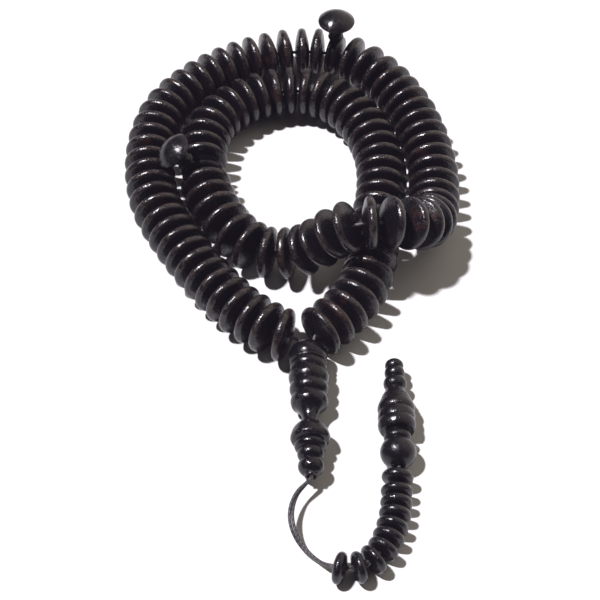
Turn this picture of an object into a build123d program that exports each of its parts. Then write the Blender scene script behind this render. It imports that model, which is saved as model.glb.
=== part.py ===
"""A string of 99 turned wooden prayer beads, laid in a loop that crosses itself, with its tassel.

Millimetres, +Z up, standing surface at Z = 0.  The strand starts and ends in the leader, the long
turned piece at the front.  Every bead, marker and counter is threaded on a cord and is placed by
its distance along that cord.
"""
import math
import os

from build123d import *

# ---- Driving dimensions ---------------------------------------------------------------------
BEAD_RADIUS = 7.15
BEAD_THINNEST = 2.1          # half the bead's thickness at its bore, in a tight bend
BEAD_THICKEST = 2.65         # and where the beads have the most room
BEAD_GAP = 0.06              # left between the hubs of two neighbours
BEND_ALLOWANCE = 4.5         # hub room lost per square radian between two neighbours
BEAD_RIM_HALF = 1.25         # half the thickness just inside the rounded rim
BEAD_BORE_RADIUS = 1.0
RIM_ROUND = 1.05             # how far the rounded rim reaches beyond the lens-shaped face

CORD_RADIUS = 0.45           # the single cord through the beads
TAIL_RADIUS = 0.9            # both ends twisted together

COUNTER_RADIUS = 3.95
COUNTER_HUB_HALF = 1.58
COUNTER_RIM_HALF = 1.15
COUNTER_RIM_ROUND = 0.9
STOP_HUB_HALF = 1.9          # the last counter is thicker
STOP_RIM_HALF = 1.3
TAIL_BORE_RADIUS = 1.2

BARREL_RADIUS = 6.25
BARREL_HUB_HALF = 2.55
BARREL_RIM_HALF = 1.75
BARREL_RIM_ROUND = 0.75
BARREL_GROOVE_DEPTH = 1.3
PEG_SHANK_RADIUS = 1.5
PEG_SOCKET_RADIUS = 1.55
PEG_SOCKET_FLOOR = 2.1       # from the barrel's axis
PEG_HEAD_RADIUS = 5.35
PEG_HEAD_LEVEL = 13.0        # middle of the head, from the barrel's axis

LEADER_MOUTH = Vector(4.56, -24.3, 5.25)
LEADER_DIRECTION = Vector(0.018, -1, 0).normalized()
LEADER_LENGTH = 23.9         # down to the joint with the foot
LEADER_JOINT = 0.15          # gap between the leader and its foot
FOOT_LENGTH = 15.6
LEADER_BORE_RADIUS = 1.3
LEADER_FLARE_RADIUS = 2.35   # the mouth is opened out for the two cords
LEADER_FLARE_DEPTH = 2.2
LEADER_LIP_RADIUS = 2.65
KNOT_START = 9.32            # from the mouth, along the leader
KNOT_LENGTH = 3.0
KNOT_RADIUS = 1.22

FINIAL_ORIGIN = Vector(26.82, -60.75, 4.85)
FINIAL_DIRECTION = Vector(0, 1, 0)
FINIAL_BALL_LENGTH = 9.6
FINIAL_JOINT = 0.1
FINIAL_BORE_DEPTH = 12.0     # from the ball's bottom to the blind end, in the urn
FINIAL_PLUG_RADIUS = 1.15
FINIAL_TIP = 22.5            # from the urn's lower end

# ---- Where the threaded pieces sit, as distances along the strand ----------------------------
PITCH = 4.62
OUTER_FIRST = 15.5
OUTER_SLACK = {1: 0.45, 29: 0.4, 30: 0.5, 31: 0.7}
RIGHT_MARKER = 170.86
CROSSING_FIRST = 176.4
CROSSING_SLACK = {
    1: 1.0, 2: 0.8, 3: 0.4, 12: 0.2, 13: 0.4, 14: 0.5, 15: 0.2, 16: 0.2, 17: 0.2, 18: 0.4, 19: 1.2,
    20: 1.1, 21: 1.7, 22: 0.3, 23: 0.7, 24: 0.5, 25: 0.7, 26: 0.6, 27: 0.8, 28: 0.7, 29: 0.9,
    30: 0.5, 31: 0.4, 32: 0.3,
}
LEFT_MARKER = 343.95
INNER_FIRST = 348.8
INNER_SLACK = {index: 0.055 for index in range(1, 33)}
BEADS_PER_SECTION = 33

# Nodes of a section, as (first bead, last bead).
OUTER_NODES = [(1, 1), (2, 5), (6, 9), (10, 10), (11, 14), (15, 18), (19, 19), (20, 23), (24, 26),
               (27, 27), (28, 30), (31, 33)]
CROSSING_NODES = [(1, 3), (4, 6), (7, 7), (8, 11), (12, 15), (16, 16), (17, 20), (21, 21),
                  (22, 22), (23, 26), (27, 30), (31, 33)]
INNER_NODES = [(1, 3), (4, 6), (7, 7), (8, 11), (12, 15), (16, 16), (17, 19), (20, 23), (24, 24),
               (25, 28), (29, 32), (33, 33)]

# ---- Routes, as the corners of straight runs joined by tangent arcs --------------------------
OUTER_RUN = [
    (4.22, -33.6, 5.25),
    (4.15, -29.2, 5.25),
    (3.9, -25.5, 5.35),
    (2.7, -23.1, 6.0),
    (0.2, -22.9, 7.15),
    (-3.5, -21.6, 7.2),
    (-8.1, -18.3, 7.15),
    (-13.5, -14.1, 7.15),
    (-22.55, -3.45, 7.15),
    (-30.6, 8.8, 7.15),
    (-37.5, 21.4, 7.15),
    (-40.3, 34.4, 7.15),
    (-40.3, 47.4, 7.15),
    (-37.1, 60.4, 7.15),
    (-27.8, 71.7, 7.15),
    (-15.8, 80.0, 7.15),
    (-2.5, 84.7, 7.15),
    (9.0, 85.2, 7.15),
]
CROSSING_RUN = [
    (19.5, 81.2, 7.15),
    (28.1, 72.4, 7.15),
    (34.7, 60.9, 7.15),
    (38.6, 48.0, 7.15),
    (40.4, 35.9, 7.15),
    (40.1, 24.9, 7.25),
    (38.7, 15.1, 9.6),
    (35.0, 8.2, 16.0),
    (27.3, 4.4, 21.1),
    (18.5, 3.6, 21.8),
    (11.9, 4.0, 17.8),
    (5.9, 4.3, 11.1),
]
INNER_RUN = [
    (-0.3, 4.9, 7.5),
    (-7.8, 5.7, 7.15),
    (-14.7, 11.1, 7.15),
    (-21.1, 20.6, 7.15),
    (-24.5, 31.4, 7.15),
    (-25.8, 43.4, 7.15),
    (-23.4, 54.4, 7.15),
    (-15.7, 62.9, 7.15),
    (-5.5, 67.7, 7.15),
    (5.5, 68.2, 7.15),
    (15.0, 63.0, 7.15),
    (21.9, 52.9, 7.15),
    (25.6, 40.4, 7.15),
    (25.5, 27.4, 7.15),
    (23.4, 16.4, 7.15),
    (22.35, 6.4, 7.15),
    (20.8, -3.6, 7.15),
    (15.4, -13.5, 7.15),
    (10.2, -19.0, 7.15),
    (6.3, -22.4, 7.15),
    (6.0, -24.4, 6.3),
    (5.25, -26.0, 5.5),
    (5.12, -29.2, 5.25),
    (5.22, -33.6, 5.25),
]
TAIL_ROUTE = [
    (5.2, -64.6, 5.2),
    (3.7, -66.15, 5.1),
    (1.9, -68.2, 5.0),
    (0.7, -71.1, 4.9),
    (0.2, -74.3, 4.6),
    (0.7, -77.4, 3.8),
    (2.2, -80.4, 2.4),
    (4.5, -83.1, 1.6),
    (7.4, -85.7, 2.0),
    (10.1, -87.7, 3.87),
    (13.1, -88.6, 4.07),
    (16.7, -88.2, 4.02),
    (20.1, -86.0, 3.97),
    (22.5, -83.0, 3.97),
    (23.8, -79.8, 3.97),
    (24.8, -76.7, 3.97),
    (25.5, -73.6, 3.97),
    (25.9, -70.5, 3.97),
    (26.1, -67.2, 3.97),
    (26.4, -63.8, 4.27),
    (26.75, -60.4, 4.7),
    (26.8, -56.0, 4.85),
    (26.82, -52.0, 4.85),
]
COUNTER_FIRST = 31.1
COUNTER_GAPS = [4.6, 4.1, 3.7, 3.4, 3.2, 3.3, 3.2, 3.2, 3.9]

os.makedirs("parts", exist_ok=True)


# ---- Helpers --------------------------------------------------------------------------------
def save(part, label):
    """Names a finished piece and writes it."""
    part.label = label
    export_step(part, f"parts/{label}.step")


def corner_radii(points):
    """The arc at each corner: 0.45 of the shorter run, over the tangent of half the turn."""
    corners = [Vector(*point) for point in points]
    radii = []
    for before, corner, after in zip(corners, corners[1:], corners[2:]):
        run_in = corner - before
        run_out = after - corner
        half_turn = math.radians(run_in.get_angle(run_out)) / 2
        radii.append(0.45 * min(run_in.length, run_out.length) / math.tan(half_turn))
    return radii


def threaded_plane(path, distance, aim=Vector(0, 0, 1)):
    """A plane across the path, its Z along the path and its Y as near to aim as it can be."""
    centre = path.position_at(distance, position_mode=PositionMode.LENGTH)
    along = path.tangent_at(distance, position_mode=PositionMode.LENGTH)
    side = aim.cross(along).normalized()
    return Plane(origin=centre, x_dir=side, z_dir=along)


def turning_plane(origin, axis):
    """A plane whose Y runs along a horizontal turning axis, for a profile of (radius, distance)."""
    side = axis.cross(Vector(0, 0, 1)).normalized()
    return Plane(origin=origin, x_dir=side, z_dir=side.cross(axis))


def spaced(first, slack):
    """Distances of one section's beads along the strand."""
    distances = [first]
    for index in range(1, BEADS_PER_SECTION):
        distances.append(distances[-1] + PITCH + slack.get(index, 0.0))
    return distances


def lens(radius, hub_half, rim_half, bore_radius, rim_round=RIM_ROUND):
    """A bored lens-shaped disc about Z with a rounded rim, turned in one piece."""
    edge = radius - rim_round
    crown = hub_half - rim_half
    face_radius = (edge**2 + crown**2) / (2 * crown)

    def face_height(distance):
        return hub_half - face_radius + math.sqrt(face_radius**2 - distance**2)

    middle = (bore_radius + edge) / 2
    with BuildPart() as disc:
        with BuildSketch(Plane.XZ):
            with BuildLine():
                bore_top = (bore_radius, face_height(bore_radius))
                bore_bottom = (bore_radius, -face_height(bore_radius))
                ThreePointArc(bore_top, (middle, face_height(middle)), (edge, rim_half))
                ThreePointArc((edge, rim_half), (radius, 0), (edge, -rim_half))
                ThreePointArc((edge, -rim_half), (middle, -face_height(middle)), bore_bottom)
                Line(bore_bottom, bore_top)
            make_face()
        revolve(axis=Axis.Z)
    return disc.part


def hub_halves(planes):
    """Half the thickness of each bead, so that it touches the nearer of its neighbours."""
    rooms = []
    for here, following in zip(planes, planes[1:]):
        bend = math.radians(here.z_dir.get_angle(following.z_dir))
        room = (following.origin - here.origin).length - BEND_ALLOWANCE * bend**2 - BEAD_GAP
        rooms.append(room / 2)
    halves = []
    for before, after in zip([BEAD_THICKEST] + rooms, rooms + [BEAD_THICKEST]):
        half = min(before, after, BEAD_THICKEST)
        halves.append(max(math.floor(half * 20) / 20, BEAD_THINNEST))
    return halves


def ringed_outline(start_radius, rings):
    """A run of turned rings as arcs, each given by its end, crest radius and groove radius."""
    here = (start_radius, 0)
    for end, crest, groove in rings:
        ThreePointArc(here, (crest, (here[1] + end) / 2), (groove, end))
        here = (groove, end)
    return here


def dome(rim, top):
    """A round cap from a rim (radius, distance) to the turning axis, its centre on that axis."""
    radius, level = rim
    rise = top - level
    ball_radius = (radius**2 + rise**2) / (2 * rise)
    middle = radius / 2
    ThreePointArc(rim, (middle, top - ball_radius + math.sqrt(ball_radius**2 - middle**2)), (0, top))


# ---- The strand's path and its cord ----------------------------------------------------------
STRAND_ROUTE = OUTER_RUN + CROSSING_RUN + INNER_RUN
strand_radii = corner_radii(STRAND_ROUTE)
tail_radii = corner_radii(TAIL_ROUTE)
print("strand corner radii", [round(radius, 1) for radius in strand_radii])
print("tail corner radii", [round(radius, 1) for radius in tail_radii])

with BuildPart() as strand_cord:
    with BuildLine() as strand_line:
        FilletPolyline(*STRAND_ROUTE, radius=strand_radii)
    with BuildSketch(Plane(origin=strand_line.line @ 0, z_dir=strand_line.line % 0)):
        Circle(CORD_RADIUS)
    sweep(path=strand_line.line)
save(strand_cord.part, "strand_cord")

with BuildPart() as tail_cord:
    with BuildLine() as tail_line:
        FilletPolyline(*TAIL_ROUTE, radius=tail_radii)
    with BuildSketch(Plane(origin=tail_line.line @ 0, z_dir=tail_line.line % 0)):
        Circle(TAIL_RADIUS)
    sweep(path=tail_line.line)
save(tail_cord.part, "tail_cord")

strand_path = strand_line.wire()
tail_path = tail_line.wire()
for name, cord, path, radius in [
    ("strand", strand_cord, strand_path, CORD_RADIUS),
    ("tail", tail_cord, tail_path, TAIL_RADIUS),
]:
    expected = math.pi * radius**2 * path.length
    print(name, "length", round(path.length, 1), "volume / expected",
          round(cord.part.volume / expected, 4))


# ---- Beads -----------------------------------------------------------------------------------
bead_shapes = {}
for section, first, slack, nodes in [
    ("outer", OUTER_FIRST, OUTER_SLACK, OUTER_NODES),
    ("crossing", CROSSING_FIRST, CROSSING_SLACK, CROSSING_NODES),
    ("inner", INNER_FIRST, INNER_SLACK, INNER_NODES),
]:
    planes = [threaded_plane(strand_path, place) for place in spaced(first, slack)]
    halves = hub_halves(planes)
    print(section, "hub halves", halves)
    for half in set(halves) - set(bead_shapes):
        bead_shapes[half] = lens(BEAD_RADIUS, half, BEAD_RIM_HALF, BEAD_BORE_RADIUS)
    for start, end in nodes:
        with BuildPart() as beads:
            for plane, half in zip(planes[start - 1:end], halves[start - 1:end]):
                with Locations(plane):
                    add(bead_shapes[half])
        if start == end:
            save(beads.part, f"{section}_bead_{start:02d}")
        else:
            save(beads.part, f"{section}_beads_{start:02d}_{end:02d}")


# ---- Markers: a grooved barrel on the strand, and a mushroom peg glued into its side ---------
for side, place, aim in [
    ("right", RIGHT_MARKER, Vector(0.09, 0.02, 0.995)),
    ("left", LEFT_MARKER, Vector(-0.63, 0.06, 0.78)),
]:
    across = threaded_plane(strand_path, place, aim)
    outward = Plane(origin=across.origin, x_dir=across.z_dir, z_dir=across.y_dir)
    with BuildPart() as barrel:
        with Locations(across):
            add(lens(
                BARREL_RADIUS, BARREL_HUB_HALF, BARREL_RIM_HALF, BEAD_BORE_RADIUS, BARREL_RIM_ROUND
            ))
        with BuildSketch(Plane(origin=across.origin, x_dir=across.x_dir, z_dir=across.y_dir)):
            with BuildLine():
                Polyline(
                    (BARREL_RADIUS + 0.5, -1.2),
                    (BARREL_RADIUS - BARREL_GROOVE_DEPTH, -0.12),
                    (BARREL_RADIUS - BARREL_GROOVE_DEPTH, 0.12),
                    (BARREL_RADIUS + 0.5, 1.2),
                    close=True,
                )
            make_face()
        revolve(axis=Axis(across.origin, across.z_dir), mode=Mode.SUBTRACT)
        with BuildSketch(outward.offset(PEG_SOCKET_FLOOR)):
            Circle(PEG_SOCKET_RADIUS)
        extrude(amount=BARREL_RADIUS, mode=Mode.SUBTRACT)
    save(barrel.part, f"marker_{side}_barrel")

    profile = Plane(origin=across.origin, x_dir=across.z_dir, z_dir=across.z_dir.cross(across.y_dir))
    head_low = PEG_HEAD_LEVEL - 2.5
    head_high = PEG_HEAD_LEVEL + 2.5
    with BuildPart() as peg:
        with BuildSketch(profile):
            with BuildLine():
                Polyline(
                    (0, PEG_SOCKET_FLOOR + 0.05),
                    (PEG_SHANK_RADIUS, PEG_SOCKET_FLOOR + 0.05),
                    (PEG_SHANK_RADIUS, 6.5),
                )
                ThreePointArc((PEG_SHANK_RADIUS, 6.5), (2.3, 7.2), (1.9, 8.0))
                ThreePointArc((1.9, 8.0), (1.75, 8.6), (2.0, 9.2))
                ThreePointArc((2.0, 9.2), (2.6, 9.75), (2.3, 10.3))
                ThreePointArc((2.3, 10.3), (4.1, head_low + 0.95), (PEG_HEAD_RADIUS, 12.7))
                ThreePointArc(
                    (PEG_HEAD_RADIUS, 12.7), (PEG_HEAD_RADIUS + 0.05, 12.95), (PEG_HEAD_RADIUS, 13.2)
                )
                dome((PEG_HEAD_RADIUS, 13.2), head_high)
                Line((0, head_high), (0, PEG_SOCKET_FLOOR + 0.05))
            make_face()
        revolve(axis=Axis(across.origin, across.y_dir))
    save(peg.part, f"marker_{side}_peg")


# ---- Leader: the long piece that gathers both ends, its foot, and what is inside -------------
leader_plane = turning_plane(LEADER_MOUTH, LEADER_DIRECTION)
leader_axis = Axis(LEADER_MOUTH, LEADER_DIRECTION)
NECK_RADIUS = 1.95
with BuildPart() as leader_body:
    with BuildSketch(leader_plane):
        with BuildLine():
            last_ring = ringed_outline(LEADER_LIP_RADIUS, [
                (4.9, 4.9, 4.6),
                (5.9, 4.85, 4.55),
                (7.9, 4.75, 4.4),
                (12.3, 5.2, 4.5),
                (15.7, 5.0, 4.1),
            ])
            ThreePointArc(last_ring, (4.8, 17.4), (4.45, 19.0))
            ThreePointArc((4.45, 19.0), (2.65, 20.75), (NECK_RADIUS, 23.2))
            Polyline(
                (NECK_RADIUS, 23.2),
                (2.0, LEADER_LENGTH),
                (LEADER_BORE_RADIUS, LEADER_LENGTH),
                (LEADER_BORE_RADIUS, LEADER_FLARE_DEPTH),
                (LEADER_FLARE_RADIUS, 0),
                (LEADER_LIP_RADIUS, 0),
            )
        make_face()
    revolve(axis=leader_axis)
save(leader_body.part, "leader_body")

foot_origin = LEADER_MOUTH + LEADER_DIRECTION * (LEADER_LENGTH + LEADER_JOINT)
with BuildPart() as leader_foot:
    with BuildSketch(turning_plane(foot_origin, LEADER_DIRECTION)):
        with BuildLine():
            nub = ringed_outline(2.0, [
                (3.6, 4.15, 4.85),
                (5.4, 5.02, 4.7),
                (5.9, 4.25, 3.7),
                (8.1, 4.05, 3.1),
                (10.9, 3.35, 2.45),
                (15.0, 3.25, 1.75),
            ])
            Polyline(
                nub,
                (1.65, FOOT_LENGTH),
                (TAIL_BORE_RADIUS, FOOT_LENGTH),
                (TAIL_BORE_RADIUS, 0),
                (2.0, 0),
            )
        make_face()
    revolve(axis=Axis(foot_origin, LEADER_DIRECTION))
save(leader_foot.part, "leader_foot")

with BuildPart() as leader_knot:
    with BuildSketch(turning_plane(LEADER_MOUTH + LEADER_DIRECTION * KNOT_START, LEADER_DIRECTION)):
        with BuildLine():
            Line((0, 0), (0.95, 0))
            ThreePointArc((0.95, 0), (KNOT_RADIUS, KNOT_LENGTH / 2), (0.95, KNOT_LENGTH))
            Polyline((0.95, KNOT_LENGTH), (0, KNOT_LENGTH), (0, 0))
        make_face()
    revolve(axis=leader_axis)
save(leader_knot.part, "leader_knot")

inner_cord_start = KNOT_START + KNOT_LENGTH
inner_cord_end = LEADER_LENGTH + LEADER_JOINT + FOOT_LENGTH - 0.6
with BuildPart() as leader_cord:
    with BuildSketch(Plane(
        origin=LEADER_MOUTH + LEADER_DIRECTION * inner_cord_start, z_dir=LEADER_DIRECTION
    )):
        Circle(TAIL_RADIUS)
    extrude(amount=inner_cord_end - inner_cord_start)
save(leader_cord.part, "leader_cord")


# ---- Counters on the tail --------------------------------------------------------------------
counter_places = [COUNTER_FIRST]
for gap in COUNTER_GAPS:
    counter_places.append(counter_places[-1] + gap)
counter_disc = lens(
    COUNTER_RADIUS, COUNTER_HUB_HALF, COUNTER_RIM_HALF, TAIL_BORE_RADIUS, COUNTER_RIM_ROUND
)
stop_disc = lens(COUNTER_RADIUS, STOP_HUB_HALF, STOP_RIM_HALF, TAIL_BORE_RADIUS, COUNTER_RIM_ROUND)
for number, place in enumerate(counter_places, start=1):
    with BuildPart() as counter:
        with Locations(threaded_plane(tail_path, place)):
            add(stop_disc if number == len(counter_places) else counter_disc)
    save(counter.part, f"counter_{number:02d}")


# ---- Finial: a ball with a collar, and an urn whose blind bore takes the cord's end ----------
with BuildPart() as finial_ball:
    with BuildSketch(turning_plane(FINIAL_ORIGIN, FINIAL_DIRECTION)):
        with BuildLine():
            collar = ringed_outline(1.7, [
                (7.2, 4.5, 3.0),
                (FINIAL_BALL_LENGTH, 3.45, 2.6),
            ])
            Polyline(
                collar,
                (TAIL_BORE_RADIUS, FINIAL_BALL_LENGTH),
                (TAIL_BORE_RADIUS, 0),
                (1.7, 0),
            )
        make_face()
    revolve(axis=Axis(FINIAL_ORIGIN, FINIAL_DIRECTION))
save(finial_ball.part, "finial_ball")

urn_start = FINIAL_BALL_LENGTH + FINIAL_JOINT
urn_origin = FINIAL_ORIGIN + FINIAL_DIRECTION * urn_start
urn_bore_end = FINIAL_BORE_DEPTH - urn_start
with BuildPart() as finial_urn:
    with BuildSketch(turning_plane(urn_origin, FINIAL_DIRECTION)):
        with BuildLine():
            Polyline((2.6, 0), (2.6, 0.2), (4.2, 0.4))
            ThreePointArc((4.2, 0.4), (4.66, 1.3), (4.6, 3.4))
            ThreePointArc((4.6, 3.4), (4.75, 4.6), (4.45, 6.0))
            ThreePointArc((4.45, 6.0), (4.75, 6.95), (4.6, 7.9))
            ThreePointArc((4.6, 7.9), (4.45, 8.45), (4.1, 9.0))
            ThreePointArc((4.1, 9.0), (4.02, 9.5), (3.7, 10.0))
            ThreePointArc((3.7, 10.0), (3.62, 10.55), (3.3, 11.1))
            Line((3.3, 11.1), (2.3, 13.3))
            ThreePointArc((2.3, 13.3), (3.0, 14.9), (1.95, 16.7))
            ThreePointArc((1.95, 16.7), (2.6, 18.1), (2.1, 19.6))
            ThreePointArc((2.1, 19.6), (2.4, 20.5), (2.2, 21.3))
            dome((2.2, 21.3), FINIAL_TIP)
            Polyline(
                (0, FINIAL_TIP),
                (0, urn_bore_end),
                (TAIL_BORE_RADIUS, urn_bore_end),
                (TAIL_BORE_RADIUS, 0),
                (2.6, 0),
            )
        make_face()
    revolve(axis=Axis(urn_origin, FINIAL_DIRECTION))
save(finial_urn.part, "finial_urn")

plug_start = TAIL_ROUTE[-1][1]
plug_length = FINIAL_ORIGIN.Y + FINIAL_BORE_DEPTH - plug_start
with BuildPart() as finial_plug:
    with BuildSketch(Plane(origin=(FINIAL_ORIGIN.X, plug_start, FINIAL_ORIGIN.Z), z_dir=(0, 1, 0))):
        Circle(FINIAL_PLUG_RADIUS)
    extrude(amount=plug_length - 0.05)
save(finial_plug.part, "finial_plug")
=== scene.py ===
"""A string of turned ebony prayer beads with its tassel, on a white table."""

import math

import bpy
import numpy as np
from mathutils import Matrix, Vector


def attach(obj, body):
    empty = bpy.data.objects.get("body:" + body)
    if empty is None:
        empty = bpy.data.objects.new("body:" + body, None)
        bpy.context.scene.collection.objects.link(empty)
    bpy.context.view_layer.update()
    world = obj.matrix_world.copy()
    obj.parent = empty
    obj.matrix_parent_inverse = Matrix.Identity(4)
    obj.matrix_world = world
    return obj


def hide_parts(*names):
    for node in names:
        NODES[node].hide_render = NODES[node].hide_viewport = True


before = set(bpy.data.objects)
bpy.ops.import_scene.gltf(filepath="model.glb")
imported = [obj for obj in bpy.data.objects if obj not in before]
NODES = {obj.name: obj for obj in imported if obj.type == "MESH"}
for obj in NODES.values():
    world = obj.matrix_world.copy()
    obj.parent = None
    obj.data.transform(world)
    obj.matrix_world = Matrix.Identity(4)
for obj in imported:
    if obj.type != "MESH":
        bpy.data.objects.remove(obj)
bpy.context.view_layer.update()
MM = 0.001

# ---- Camera ----------------------------------------------------------------------------------
CAMERA_PLACE = Vector((2.5, -258.7, 324.6)) * MM
CAMERA_TILT = math.radians(38)
CAMERA_LENS = 91.2
CAMERA_SENSOR = 36

camera_data = bpy.data.cameras.new("camera")
camera_data.lens = CAMERA_LENS
camera_data.sensor_width = CAMERA_SENSOR
camera_data.clip_start = 0.01
camera_data.clip_end = 20
camera = bpy.data.objects.new("camera", camera_data)
camera.location = CAMERA_PLACE
camera.rotation_euler = (CAMERA_TILT, 0, 0)
bpy.context.scene.collection.objects.link(camera)
bpy.context.scene.camera = camera

# ---- The free cord, in millimetres -----------------------------------------------------------
TAIL_ROUTE = [
    (5.2, -64.6, 5.2), (3.7, -66.15, 5.1), (1.9, -68.2, 5.0), (0.7, -71.1, 4.9),
    (0.2, -74.3, 4.6), (0.7, -77.4, 3.8), (2.2, -80.4, 2.4), (4.5, -83.1, 1.6),
    (7.4, -85.7, 2.0), (10.1, -87.7, 3.87), (13.1, -88.6, 4.07), (16.7, -88.2, 4.02),
    (20.1, -86.0, 3.97), (22.5, -83.0, 3.97), (23.8, -79.8, 3.97), (24.8, -76.7, 3.97),
    (25.5, -73.6, 3.97), (25.9, -70.5, 3.97), (26.1, -67.2, 3.97), (26.4, -63.8, 4.27),
    (26.75, -60.4, 4.7), (26.8, -56.0, 4.85), (26.82, -52.0, 4.85),
]
TAIL_INSIDE = (5.26, -63.7, 5.25)   # where the strands start, inside the foot
STRAND_RADIUS = 0.39
STRAND_OFFSET = 0.41
TWIST_START = 62.0          # degrees at the exit; 0 is side by side
TWIST_PER_MM = 8.8
ROUTE_STEPS = 24            # points of the line for each stretch of the route
AROUND = 14                 # sides of one strand


def route_line(name, points):
    """Points along the smooth NURBS line that the route's points control."""
    curve = bpy.data.curves.new(name, "CURVE")
    curve.dimensions = "3D"
    curve.resolution_u = ROUTE_STEPS
    spline = curve.splines.new("NURBS")
    spline.points.add(len(points) - 1)
    for control, place in zip(spline.points, points):
        control.co = (*(c * MM for c in place), 1)
    spline.order_u = 3
    spline.use_endpoint_u = True
    line = bpy.data.objects.new(name, curve)
    bpy.context.scene.collection.objects.link(line)
    depsgraph = bpy.context.evaluated_depsgraph_get()
    mesh = bpy.data.meshes.new_from_object(line.evaluated_get(depsgraph))
    found = [v.co.copy() for v in mesh.vertices]
    bpy.data.meshes.remove(mesh)
    bpy.data.objects.remove(line)
    bpy.data.curves.remove(curve)
    return found


def twisted_pair(name, line):
    """Two strands laid round each other along the line, as one mesh."""
    verts, faces, wound = [], [], []
    up = Vector((0, 0, 1))
    last = len(line) - 1
    for strand in (0, 1):
        run = 0.0
        first = len(verts)
        for i, place in enumerate(line):
            along = (line[min(i + 1, last)] - line[max(i - 1, 0)]).normalized()
            if i:
                run += (place - line[i - 1]).length / MM
            side = up.cross(along).normalized()
            over = along.cross(side)
            twist = math.radians(TWIST_START + TWIST_PER_MM * run) + math.pi * strand
            aside = side * math.cos(twist) + over * math.sin(twist)
            centre = place + aside * STRAND_OFFSET * MM
            for k in range(AROUND):
                turn = 2 * math.pi * k / AROUND
                out = side * math.cos(turn) + over * math.sin(turn)
                verts.append(centre + out * STRAND_RADIUS * MM)
                wound.append((run, (turn - twist) / (2 * math.pi), strand))
            if i:
                base = first + i * AROUND
                for k in range(AROUND):
                    following = (k + 1) % AROUND
                    faces.append((base + k, base + following,
                                  base + following - AROUND, base + k - AROUND))
        faces.append([first + k for k in range(AROUND)])
        end = first + last * AROUND
        faces.append([end + k for k in reversed(range(AROUND))])
    mesh = bpy.data.meshes.new(name)
    mesh.from_pydata(verts, [], faces)
    mesh.validate()
    mesh.shade_smooth()
    attribute = mesh.attributes.new("wound", "FLOAT_VECTOR", "POINT")
    attribute.data.foreach_set("vector", [c for place in wound for c in place])
    made = bpy.data.objects.new(name, mesh)
    bpy.context.scene.collection.objects.link(made)
    return made


tail_line = [Vector(TAIL_INSIDE) * MM] + route_line("tail_route", TAIL_ROUTE)
tail = twisted_pair("tail_strands", tail_line)
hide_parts("tail_cord")
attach(tail, "tail")

# ---- Each turned piece's own coordinates -----------------------------------------------------
WELD_PER_METRE = 1e6        # vertices closer than a micrometre are one
SIDEWAYS = (0.31, 0.87, 0.39)       # along no piece's axis


def solids_of(mesh):
    """For each vertex, the number of the solid it belongs to."""
    count = len(mesh.vertices)
    places = np.empty(count * 3, np.float32)
    mesh.vertices.foreach_get("co", places)
    places = places.reshape(-1, 3)
    whole = np.round(places * WELD_PER_METRE).astype(np.int64)
    _, welded = np.unique(whole, axis=0, return_inverse=True)
    welded = welded.reshape(-1)
    ends = np.empty(len(mesh.edges) * 2, np.int64)
    mesh.edges.foreach_get("vertices", ends)
    ends = welded[ends.reshape(-1, 2)]
    label = np.arange(welded.max() + 1)
    while True:
        low = np.minimum(label[ends[:, 0]], label[ends[:, 1]])
        following = label.copy()
        np.minimum.at(following, ends[:, 0], low)
        np.minimum.at(following, ends[:, 1], low)
        following = following[following]
        if (following == label).all():
            break
        label = following
    _, number = np.unique(label, return_inverse=True)
    return places.astype(float), number.reshape(-1)[welded]


def turning_frame(places, triangles):
    """Centre and turning axis of one solid of revolution, from its surface."""
    corners = places[triangles]
    first, second = corners[:, 1] - corners[:, 0], corners[:, 2] - corners[:, 0]
    area = np.linalg.norm(np.cross(first, second), axis=1)
    middle = corners.mean(1)
    centre = (middle * area[:, None]).sum(0) / area.sum()
    offset = middle - centre
    spread = (offset * area[:, None]).T @ offset
    sizes, directions = np.linalg.eigh(spread)
    odd = 0 if sizes[1] - sizes[0] > sizes[2] - sizes[1] else 2
    axis = directions[:, odd]
    return centre, axis


def give_coordinates(node, rng):
    """Adds to each vertex its place in its own solid in mm, Z along the axis, and a seed."""
    mesh = NODES[node].data
    places, number = solids_of(mesh)
    mesh.calc_loop_triangles()
    triangles = np.empty(len(mesh.loop_triangles) * 3, np.int32)
    mesh.loop_triangles.foreach_get("vertices", triangles)
    triangles = triangles.reshape(-1, 3)
    local = np.zeros_like(places)
    seeds = np.zeros(len(places))
    for solid in range(number.max() + 1):
        mine = number == solid
        centre, axis = turning_frame(places, triangles[mine[triangles[:, 0]]])
        side = np.cross(axis, SIDEWAYS)
        side /= np.linalg.norm(side)
        basis = np.stack([side, np.cross(axis, side), axis])
        here = (places[mine] - centre) @ basis.T / MM
        turn = rng.uniform(0, 2 * math.pi)
        cosine, sine = math.cos(turn), math.sin(turn)
        here[:, :2] = here[:, :2] @ np.array(((cosine, sine), (-sine, cosine)))
        local[mine] = here
        seeds[mine] = rng.uniform(0, 1)
    attribute = mesh.attributes.new("turned", "FLOAT_VECTOR", "POINT")
    attribute.data.foreach_set("vector", local.astype(np.float32).reshape(-1))
    attribute = mesh.attributes.new("seed", "FLOAT", "POINT")
    attribute.data.foreach_set("value", seeds.astype(np.float32))


# ---- Material helpers ------------------------------------------------------------------------


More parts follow.
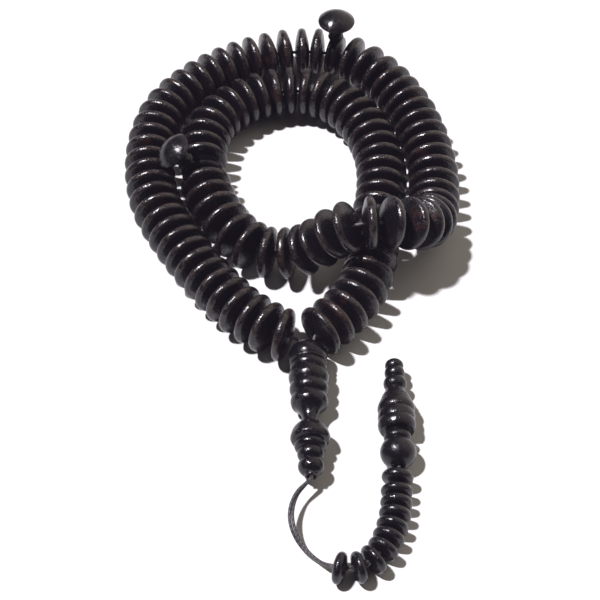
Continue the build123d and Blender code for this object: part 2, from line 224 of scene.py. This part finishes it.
class Material:
    """Short calls for building one material's nodes."""

    def __init__(self, name):
        self.material = bpy.data.materials.new(name)
        self.material.use_nodes = True
        self.tree = self.material.node_tree
        self.tree.nodes.clear()
        output = self.tree.nodes.new("ShaderNodeOutputMaterial")
        self.shader = self.tree.nodes.new("ShaderNodeBsdfPrincipled")
        self.tree.links.new(self.shader.outputs["BSDF"], output.inputs["Surface"])

    def put(self, value, socket):
        """Links a socket, or sets a plain value."""
        if isinstance(value, bpy.types.NodeSocket):
            self.tree.links.new(value, socket)
        else:
            socket.default_value = value

    def read(self, name, output="Vector"):
        """A mesh attribute."""
        node = self.tree.nodes.new("ShaderNodeAttribute")
        node.attribute_name = name
        return node.outputs[output]

    def math(self, operation, *values):
        node = self.tree.nodes.new("ShaderNodeMath")
        node.operation = operation
        for value, socket in zip(values, node.inputs):
            self.put(value, socket)
        return node.outputs[0]

    def vector(self, operation, *values):
        node = self.tree.nodes.new("ShaderNodeVectorMath")
        node.operation = operation
        for value, socket in zip(values, node.inputs):
            self.put(value, socket)
        return node.outputs["Value" if operation == "LENGTH" else "Vector"]

    def split(self, value):
        node = self.tree.nodes.new("ShaderNodeSeparateXYZ")
        self.put(value, node.inputs[0])
        return node.outputs

    def join(self, x, y, z):
        node = self.tree.nodes.new("ShaderNodeCombineXYZ")
        for value, socket in zip((x, y, z), node.inputs):
            self.put(value, socket)
        return node.outputs[0]

    def noise(self, place, scale, detail, roughness, distortion=0.0):
        node = self.tree.nodes.new("ShaderNodeTexNoise")
        self.put(place, node.inputs["Vector"])
        node.inputs["Scale"].default_value = scale
        node.inputs["Detail"].default_value = detail
        node.inputs["Roughness"].default_value = roughness
        node.inputs["Distortion"].default_value = distortion
        return node.outputs["Fac"]

    def between(self, value, low, high, to_low=0.0, to_high=1.0):
        """Goes smoothly from to_low to to_high as the value goes from low to high."""
        node = self.tree.nodes.new("ShaderNodeMapRange")
        node.interpolation_type = "SMOOTHSTEP"
        for given, socket in zip((value, low, high, to_low, to_high), node.inputs):
            self.put(given, socket)
        return node.outputs[0]

    def mix(self, share, first, second):
        node = self.tree.nodes.new("ShaderNodeMix")
        node.data_type = "RGBA"
        self.put(share, node.inputs[0])
        for value, socket in ((first, node.inputs[6]), (second, node.inputs[7])):
            self.put(value if isinstance(value, bpy.types.NodeSocket) else (*value, 1), socket)
        return node.outputs[2]

    def bump(self, height):
        """A bumped normal, from a height in mm."""
        node = self.tree.nodes.new("ShaderNodeBump")
        self.put(height, node.inputs["Height"])
        node.inputs["Distance"].default_value = MM
        node.inputs["Strength"].default_value = 1.0
        return node.outputs[0]


SEED_SHIFT = (97.0, 61.0, 83.0)     # takes each solid to its own part of the noise
SEED_RINGS = 40.0                   # and its lathe rings too
GRAIN_STRETCH = (1.0, 1.0, 0.22)    # grain runs along the turning axis
BLOTCH_SHARE = 0.75                 # what makes the tone that turns dark wood warm
FLECK_SHARE = 0.5
SEED_SHARE = 0.08
WARM_FROM = 0.74
WARM_FULL = 0.98
PORE_SHARE = 0.8
PORE_SHADE = 0.35
PORE_DULLNESS = 0.12
# the lighter colour that the rims turn towards their edge
RIM_EDGE_TONE = (0.034, 0.024, 0.021)
WAVE_HEIGHT = 0.10                  # all heights in mm
RING_HEIGHT = 0.015
PORE_DEPTH = 0.014
PLY_HEIGHT = 0.06
FIBRE_HEIGHT = 0.05
WOOD_IOR = 1.5


def ebony(name, dark, warm, warm_share, rim=None, lathe=1.0, roughness=0.19,
          specular=0.5, grit_height=0.10):
    """Polished near-black turned wood: reddish flecks, open pores, lathe rings, rims lighter
    towards the edge.

    Every noise scale is per millimetre, because the pieces' own coordinates are in mm."""
    n = Material(name)
    seed = n.read("seed", "Fac")
    local = n.read("turned")
    shift = n.vector("MULTIPLY", SEED_SHIFT, n.join(seed, seed, seed))
    place = n.vector("ADD", local, shift)
    grain = n.vector("MULTIPLY", place, GRAIN_STRETCH)
    x, y, z = n.split(local)
    radius = n.vector("LENGTH", n.join(x, y, 0.0))

    blotch = n.noise(place, scale=0.2, detail=2.0, roughness=0.5)
    fleck = n.noise(grain, scale=1.7, detail=4.0, roughness=0.68, distortion=0.3)
    tone = n.math("ADD", n.math("MULTIPLY", blotch, BLOTCH_SHARE),
                  n.math("MULTIPLY", fleck, FLECK_SHARE))
    tone = n.math("ADD", tone, n.math("MULTIPLY", seed, SEED_SHARE))
    warmth = n.between(tone, WARM_FROM - warm_share, WARM_FULL - warm_share)
    pore = n.between(n.noise(grain, scale=5.5, detail=2.0, roughness=0.55), 0.60, 0.70)
    colour = n.mix(warmth, dark, warm)
    colour = n.mix(n.math("MULTIPLY", pore, PORE_SHARE), colour,
                   tuple(c * PORE_SHADE for c in dark))
    if rim:
        # The colour turns lighter towards the rim's edge, in patches.
        rim_share = n.between(radius, *rim)
        patchy = n.between(n.noise(place, scale=0.8, detail=3.0, roughness=0.6), 0.42, 0.68,
                           to_low=0.1, to_high=0.8)
        colour = n.mix(n.math("MULTIPLY", rim_share, patchy), colour, RIM_EDGE_TONE)
    n.put(colour, n.shader.inputs["Base Color"])

    rings = n.noise(n.join(radius, z, n.math("MULTIPLY", seed, SEED_RINGS)),
                    scale=3.2, detail=3.0, roughness=0.6)
    wave = n.noise(place, scale=0.45, detail=2.0, roughness=0.5)
    grit = n.noise(place, scale=1.9, detail=2.0, roughness=0.6)
    height = n.math("MULTIPLY", rings, RING_HEIGHT * lathe)
    height = n.math("ADD", height, n.math("MULTIPLY", wave, WAVE_HEIGHT))
    height = n.math("ADD", height, n.math("MULTIPLY", grit, grit_height))
    height = n.math("SUBTRACT", height, n.math("MULTIPLY", pore, PORE_DEPTH))
    n.put(n.bump(height), n.shader.inputs["Normal"])
    gloss = n.between(n.noise(place, scale=0.9, detail=4.0, roughness=0.65), 0.3, 0.7,
                      to_low=roughness - 0.05, to_high=roughness + 0.12)
    gloss = n.math("ADD", gloss, n.math("MULTIPLY", pore, PORE_DULLNESS))
    n.put(gloss, n.shader.inputs["Roughness"])
    n.put(specular, n.shader.inputs["Specular IOR Level"])
    n.put(WOOD_IOR, n.shader.inputs["IOR"])
    return n.material


WAX_SHEEN = 0.25


def thread(name, colour, light):
    """Waxed twisted cord whose own fibres wind round it, with painted shade in the creases
    between plies; wound holds run, turn and strand.
    """
    n = Material(name)
    run, turn, strand = n.split(n.read("wound"))
    lay = n.math("ADD", n.math("MULTIPLY", run, 0.85), n.math("MULTIPLY", turn, 2.0))
    ply = n.math("ABSOLUTE", n.math("SINE", n.math("MULTIPLY", lay, math.pi)))
    across = n.math("MULTIPLY", n.math("SUBTRACT", lay, run), 7.0)
    fibre = n.noise(n.join(n.math("MULTIPLY", run, 1.2), across, strand),
                    scale=1.6, detail=4.0, roughness=0.65)
    # The fibre noise is the cord's own tone. Multiplying it by ply darkens the colour along the
    # creases between plies, which is painted shade.
    n.put(n.mix(n.between(n.math("MULTIPLY", fibre, ply), 0.1, 0.75), colour, light),
          n.shader.inputs["Base Color"])
    height = n.math("ADD", n.math("MULTIPLY", ply, PLY_HEIGHT),
                    n.math("MULTIPLY", fibre, FIBRE_HEIGHT))
    n.put(n.bump(height), n.shader.inputs["Normal"])
    n.put(n.between(fibre, 0.3, 0.7, to_low=0.36, to_high=0.55), n.shader.inputs["Roughness"])
    n.put(WAX_SHEEN, n.shader.inputs["Sheen Weight"])
    return n.material


def inner_thread(name, colour, light):
    """The same cord where it runs inside the beads, patterned in the row frame."""
    n = Material(name)
    node = n.tree.nodes.new("ShaderNodeTexCoord")
    place = n.vector("MULTIPLY", node.outputs["Object"], (1 / MM, 1 / MM, 1 / MM))
    x, y, z = n.split(place)
    lay = n.math("SINE", n.math("MULTIPLY", n.math("ADD", n.math("ADD", x, y), z), 4.2))
    fibre = n.noise(place, scale=5.0, detail=4.0, roughness=0.65)
    n.put(n.mix(n.between(fibre, 0.35, 0.7), colour, light), n.shader.inputs["Base Color"])
    height = n.math("ADD", n.math("MULTIPLY", lay, PLY_HEIGHT / 2),
                    n.math("MULTIPLY", fibre, FIBRE_HEIGHT))
    n.put(n.bump(height), n.shader.inputs["Normal"])
    n.put(n.between(fibre, 0.3, 0.7, to_low=0.4, to_high=0.6), n.shader.inputs["Roughness"])
    return n.material


DARK = (0.0034, 0.0027, 0.0044)
WARM = (0.034, 0.0125, 0.0080)
BEAD_RIM = (6.6, 7.13)              # radii between which the colour grows lighter towards the rim
BEAD_WOOD = ebony("bead_wood", DARK, WARM, 0.03, rim=BEAD_RIM)
MARKER_WOOD = ebony("marker_wood", DARK, WARM, -0.06, lathe=1.2, roughness=0.17, specular=0.42,
                    grit_height=0.05)
LEADER_WOOD = ebony("leader_wood", (0.0036, 0.0030, 0.0046), (0.018, 0.010, 0.009), -0.05,
                    roughness=0.17, specular=0.38, grit_height=0.05)
COUNTER_WOOD = ebony("counter_wood", (0.0040, 0.0033, 0.0050), (0.018, 0.010, 0.009), -0.05,
                     roughness=0.19, specular=0.46, grit_height=0.06)
FINIAL_WOOD = ebony("finial_wood", (0.0040, 0.0034, 0.0048), (0.022, 0.013, 0.011), 0.0,
                    roughness=0.19, lathe=1.6, specular=0.38, grit_height=0.06)
CORD = thread("cord", (0.010, 0.008, 0.010), (0.045, 0.039, 0.044))
INNER_CORD = inner_thread("inner_cord", (0.03, 0.025, 0.028), (0.12, 0.105, 0.11))


def finish_of(node):
    """The material for a CAD node, by what the piece is."""
    if node.endswith("_cord") or node in ("leader_knot", "finial_plug"):
        return INNER_CORD
    if "_bead" in node:
        return BEAD_WOOD
    for start, wood in (("marker", MARKER_WOOD), ("leader", LEADER_WOOD),
                        ("counter", COUNTER_WOOD), ("finial", FINIAL_WOOD)):
        if node.startswith(start):
            return wood
    raise ValueError(node)


GRAIN_SEED = 99
rng = np.random.default_rng(GRAIN_SEED)
for node in sorted(NODES):
    material = finish_of(node)
    if material is not INNER_CORD:
        give_coordinates(node, rng)
    NODES[node].data.materials.clear()
    NODES[node].data.materials.append(material)
tail.data.materials.append(CORD)

# ---- Floor, light and surroundings -----------------------------------------------------------
FLOOR_LEVEL = -0.04 * MM
FLOOR_HALF = 3.0
FLOOR_WHITE = 0.62
floor_corners = [(x * FLOOR_HALF, y * FLOOR_HALF, 0)
                 for x, y in ((-1, -1), (1, -1), (1, 1), (-1, 1))]
floor_mesh = bpy.data.meshes.new("floor")
floor_mesh.from_pydata(floor_corners, [], [(0, 1, 2, 3)])
floor = bpy.data.objects.new("floor", floor_mesh)
floor.location.z = FLOOR_LEVEL
bpy.context.scene.collection.objects.link(floor)
paper = Material("paper")
paper.put((FLOOR_WHITE, FLOOR_WHITE, FLOOR_WHITE, 1), paper.shader.inputs["Base Color"])
paper.put(0.9, paper.shader.inputs["Roughness"])
paper.put(0.2, paper.shader.inputs["Specular IOR Level"])
floor_mesh.materials.append(paper.material)

KEY_DIRECTION = Vector((-0.40, 0.06, 0.91))
KEY_ENERGY = 5.9
KEY_SPREAD = math.radians(4.0)
KEY_COLOUR = (1.0, 0.97, 1.03)
key_data = bpy.data.lights.new("key", "SUN")
key_data.energy = KEY_ENERGY
key_data.angle = KEY_SPREAD
key_data.color = KEY_COLOUR
key = bpy.data.objects.new("key", key_data)
key.rotation_euler = KEY_DIRECTION.to_track_quat("Z", "Y").to_euler()
bpy.context.scene.collection.objects.link(key)

GLOW_DIRECTION = Vector((0.72, 0.58, 0.38)).normalized()
GLOW_EDGE = 0.35            # cosines from the glow's middle
GLOW_MIDDLE = 0.98
GLOW_COLOUR = (1.0, 0.90, 0.78, 1)
SKY_DIM = 0.03
SKY_GLOW = 0.95
SKY_SEEN = (1, 1, 1, 1)     # the camera sees a white ground
world = bpy.data.worlds.new("studio")
bpy.context.scene.world = world
world.use_nodes = True
sky = world.node_tree
sky.nodes.clear()
sky_out = sky.nodes.new("ShaderNodeOutputWorld")
surroundings = sky.nodes.new("ShaderNodeTexCoord")
toward = sky.nodes.new("ShaderNodeVectorMath")
toward.operation = "DOT_PRODUCT"
sky.links.new(surroundings.outputs["Generated"], toward.inputs[0])
toward.inputs[1].default_value = GLOW_DIRECTION
glow = sky.nodes.new("ShaderNodeMapRange")
glow.interpolation_type = "SMOOTHSTEP"
glow.inputs["From Min"].default_value = GLOW_EDGE
glow.inputs["From Max"].default_value = GLOW_MIDDLE
glow.inputs["To Min"].default_value = SKY_DIM
glow.inputs["To Max"].default_value = SKY_GLOW
sky.links.new(toward.outputs["Value"], glow.inputs["Value"])
dim = sky.nodes.new("ShaderNodeBackground")
dim.inputs["Color"].default_value = GLOW_COLOUR
sky.links.new(glow.outputs[0], dim.inputs["Strength"])
white = sky.nodes.new("ShaderNodeBackground")
white.inputs["Color"].default_value = SKY_SEEN
path = sky.nodes.new("ShaderNodeLightPath")
either = sky.nodes.new("ShaderNodeMixShader")
sky.links.new(path.outputs["Is Camera Ray"], either.inputs[0])
sky.links.new(dim.outputs[0], either.inputs[1])
sky.links.new(white.outputs[0], either.inputs[2])
sky.links.new(either.outputs[0], sky_out.inputs["Surface"])

LENS_HAZE = (-0.0075, -0.0062, -0.0098)     # the white ground lifts the blacks
view = bpy.context.scene.view_settings
view.view_transform = "Standard"
view.use_curve_mapping = True
view.curve_mapping.black_level = LENS_HAZE
view.curve_mapping.update()
